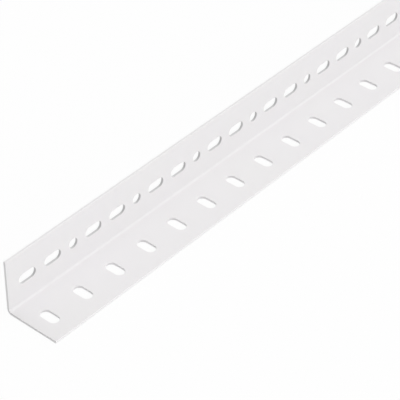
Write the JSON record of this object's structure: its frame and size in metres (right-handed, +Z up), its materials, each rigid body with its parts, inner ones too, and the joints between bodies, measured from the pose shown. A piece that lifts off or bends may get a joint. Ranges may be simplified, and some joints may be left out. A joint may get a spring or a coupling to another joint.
{
  "type": "slotted steel angle profile",
  "caption": "Equal-leg angle of bent steel strip, coated white, with long slots and round holes along one leg and slots across the other, for bolting up frames and shelves.",
  "frame": {"origin": "on the floor, below the middle of the length and of the base leg's width", "axes": "+X along the length, away from the end that the picture shows; +Y towards the outside of the upright leg; +Z up"},
  "size_m": [1, 0.0356, 0.0355],
  "materials": {
    "white_coating": "satin"
  },
  "bodies": {
    "root": {"slotted_angle": "white_coating"}
  },
  "joints": []
}
